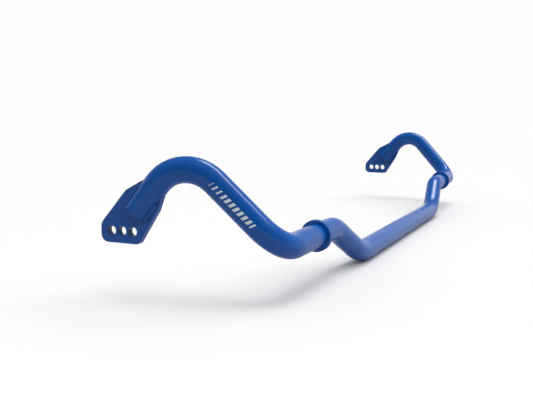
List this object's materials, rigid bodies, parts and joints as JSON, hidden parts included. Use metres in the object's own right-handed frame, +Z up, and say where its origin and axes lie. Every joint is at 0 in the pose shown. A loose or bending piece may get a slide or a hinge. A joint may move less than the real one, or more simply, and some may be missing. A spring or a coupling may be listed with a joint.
{
  "type": "sway bar",
  "caption": "Bent hollow sway bar: offset centre section, arms that rise and drop to flat link plates with adjustment holes, and stop collars beside the bush seats.",
  "frame": {"origin": "middle of the footprint, on the plane that the centre section stands on", "axes": "+X across the car along the bar, +Y from the centre section towards the link plates, +Z up, the way the arms rise"},
  "size_m": [1.0528, 0.2208, 0.1525],
  "materials": {
    "bar_coat": "gloss blue powder coat on steel tube",
    "plate_coat": "gloss blue powder coat on flat steel plate",
    "collar_coat": "gloss blue powder coat on a turned steel ring",
    "weld_coat": "gloss blue powder coat over weld beads"
  },
  "bodies": {
    "root": {"bar_tube": "bar_coat", "link_plate_left": "plate_coat", "stop_collar_left": "collar_coat", "end_cap_left_outer": "bar_coat", "front_weld_left_outer": "weld_coat", "rear_weld_left_outer": "weld_coat", "tip_weld_left_outer": "weld_coat", "end_cap_left_inner": "bar_coat", "front_weld_left_inner": "weld_coat", "rear_weld_left_inner": "weld_coat", "tip_weld_left_inner": "weld_coat", "link_plate_right": "plate_coat", "stop_collar_right": "collar_coat", "end_cap_right_outer": "bar_coat", "front_weld_right_outer": "weld_coat", "rear_weld_right_outer": "weld_coat", "tip_weld_right_outer": "weld_coat", "end_cap_right_inner": "bar_coat", "front_weld_right_inner": "weld_coat", "rear_weld_right_inner": "weld_coat", "tip_weld_right_inner": "weld_coat"}
  },
  "joints": []
}
